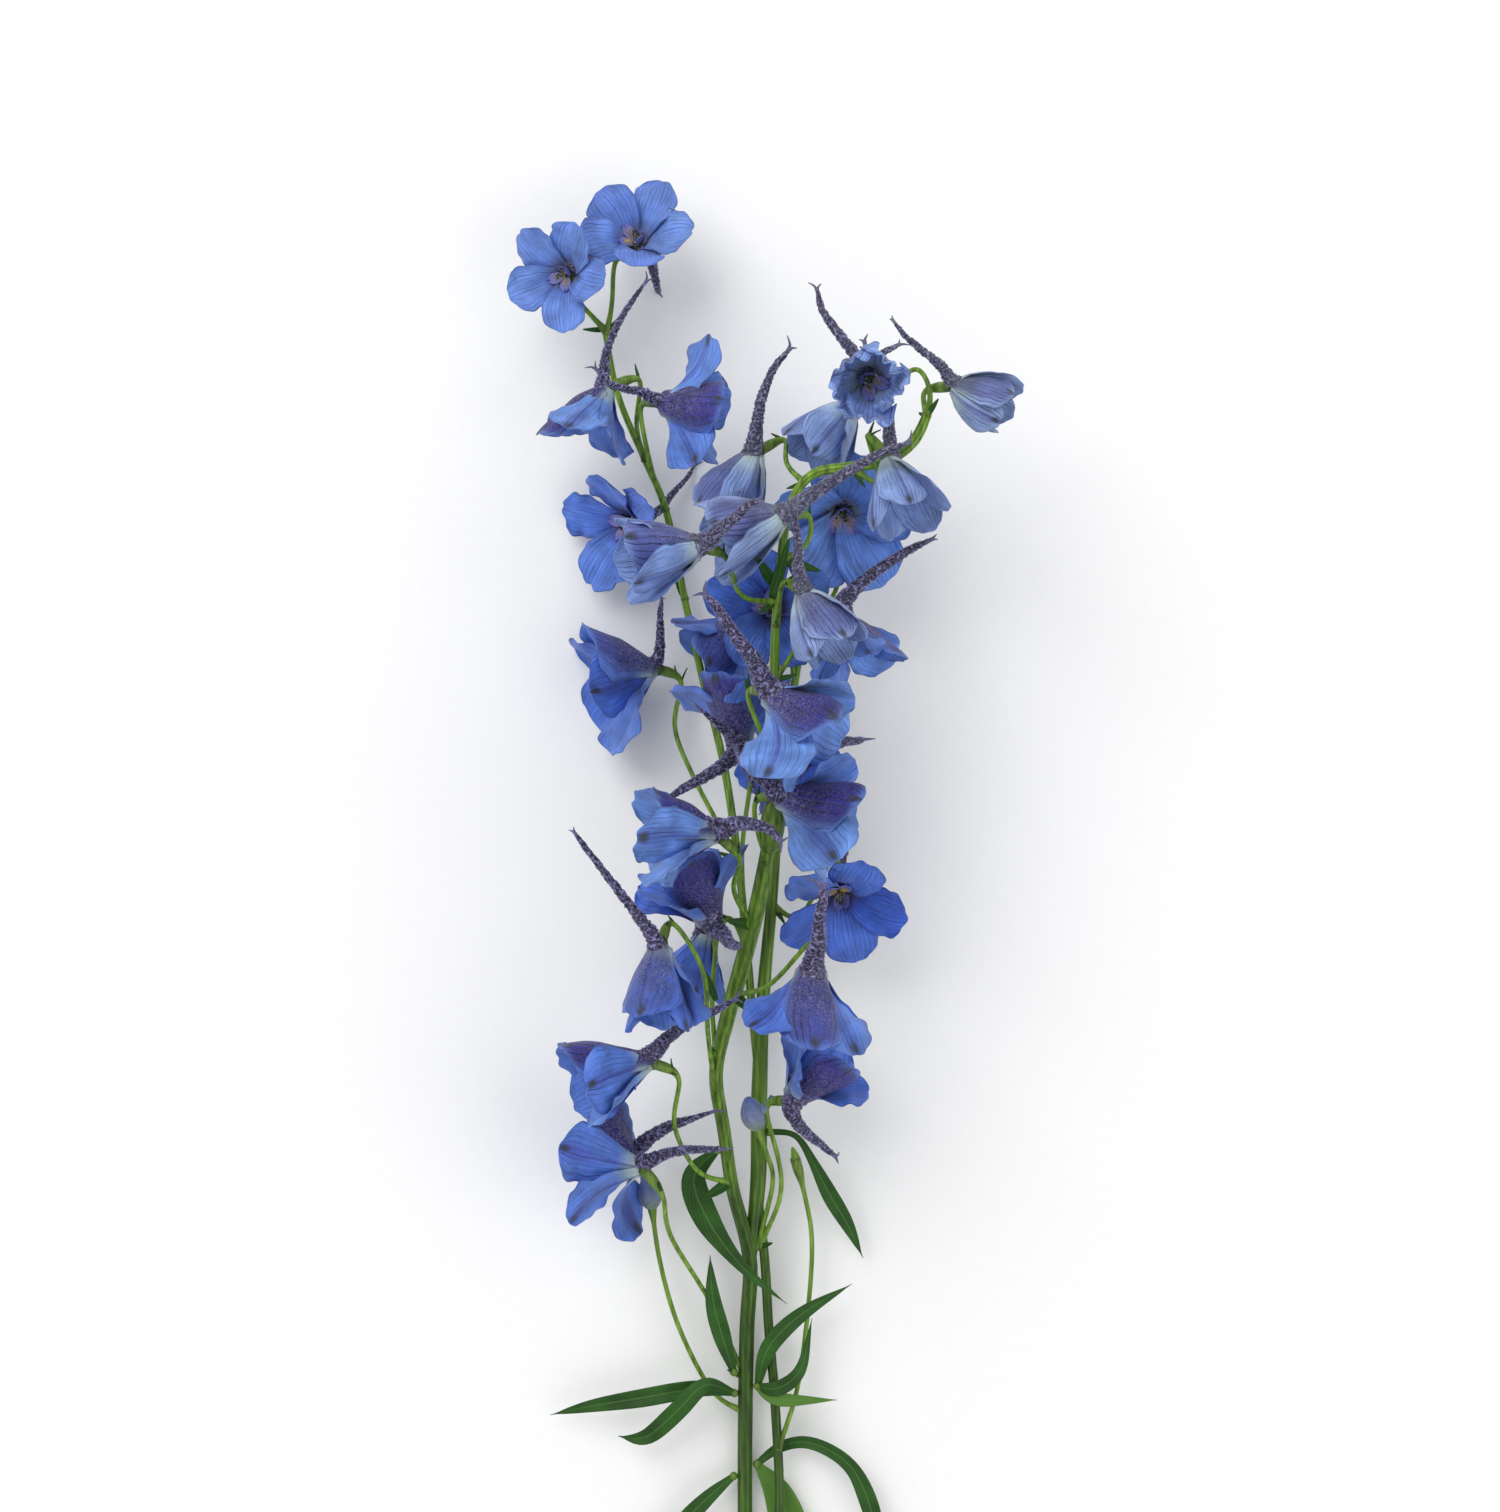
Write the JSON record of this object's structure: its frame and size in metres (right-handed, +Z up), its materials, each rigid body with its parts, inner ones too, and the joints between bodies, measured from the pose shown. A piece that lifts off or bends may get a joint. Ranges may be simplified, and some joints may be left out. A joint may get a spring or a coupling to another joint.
{
  "type": "delphinium flower spike",
  "caption": "Cut, branched delphinium flowering stem lying flat: spurred blue flowers on thin stalks, closed buds and long narrow lobed leaves.",
  "frame": {"origin": "middle of the bounding box's base, on the table that the cut stem lies on", "axes": "+Y along the stem from its cut end to its tips, +Z up from the table, +X to the right when seen from above with the tips at the top"},
  "size_m": [0.1494, 0.4499, 0.0975],
  "materials": {
    "sepal": "soft matt petal, mid blue",
    "centre": "pale violet small petals with yellow hairs",
    "stem": "fresh green stem, faintly ridged",
    "leaf": "matt dark green leaf",
    "bud": "grey green closed bud"
  },
  "bodies": {
    "root": {"stem": "stem", "calyx_L1": "sepal", "calyx_L2": "sepal", "calyx_L3": "sepal", "calyx_L4": "sepal", "calyx_L5": "sepal", "calyx_L6": "sepal", "calyx_L7": "sepal", "calyx_L8": "sepal", "calyx_R1": "sepal", "calyx_R2": "sepal", "calyx_R3": "sepal", "calyx_R4": "sepal", "calyx_R5": "sepal", "calyx_R6": "sepal", "calyx_R7": "sepal", "calyx_R8": "sepal", "calyx_R9": "sepal", "calyx_R11": "sepal", "calyx_R12": "sepal", "calyx_R13": "sepal", "calyx_R14": "sepal", "calyx_R15": "sepal", "calyx_R16": "sepal", "calyx_R17": "sepal", "calyx_R18": "sepal", "calyx_R19": "sepal", "calyx_R20": "sepal", "calyx_R21": "sepal", "calyx_R22": "sepal", "calyx_R24": "sepal", "calyx_R25": "sepal", "centre_L1": "centre", "centre_L2": "centre", "centre_L5": "centre", "centre_R1": "centre", "centre_R6": "centre", "centre_R17": "centre", "centre_R24": "centre", "centre_R25": "centre", "bud_R23": "bud", "bud_R21_side": "bud", "leaf_left": "leaf", "leaf_left_upright": "leaf", "leaf_right": "leaf", "leaf_low_right": "leaf", "leaf_low_left": "leaf", "leaf_fork": "leaf", "leaf_hanging": "leaf"}
  },
  "joints": []
}
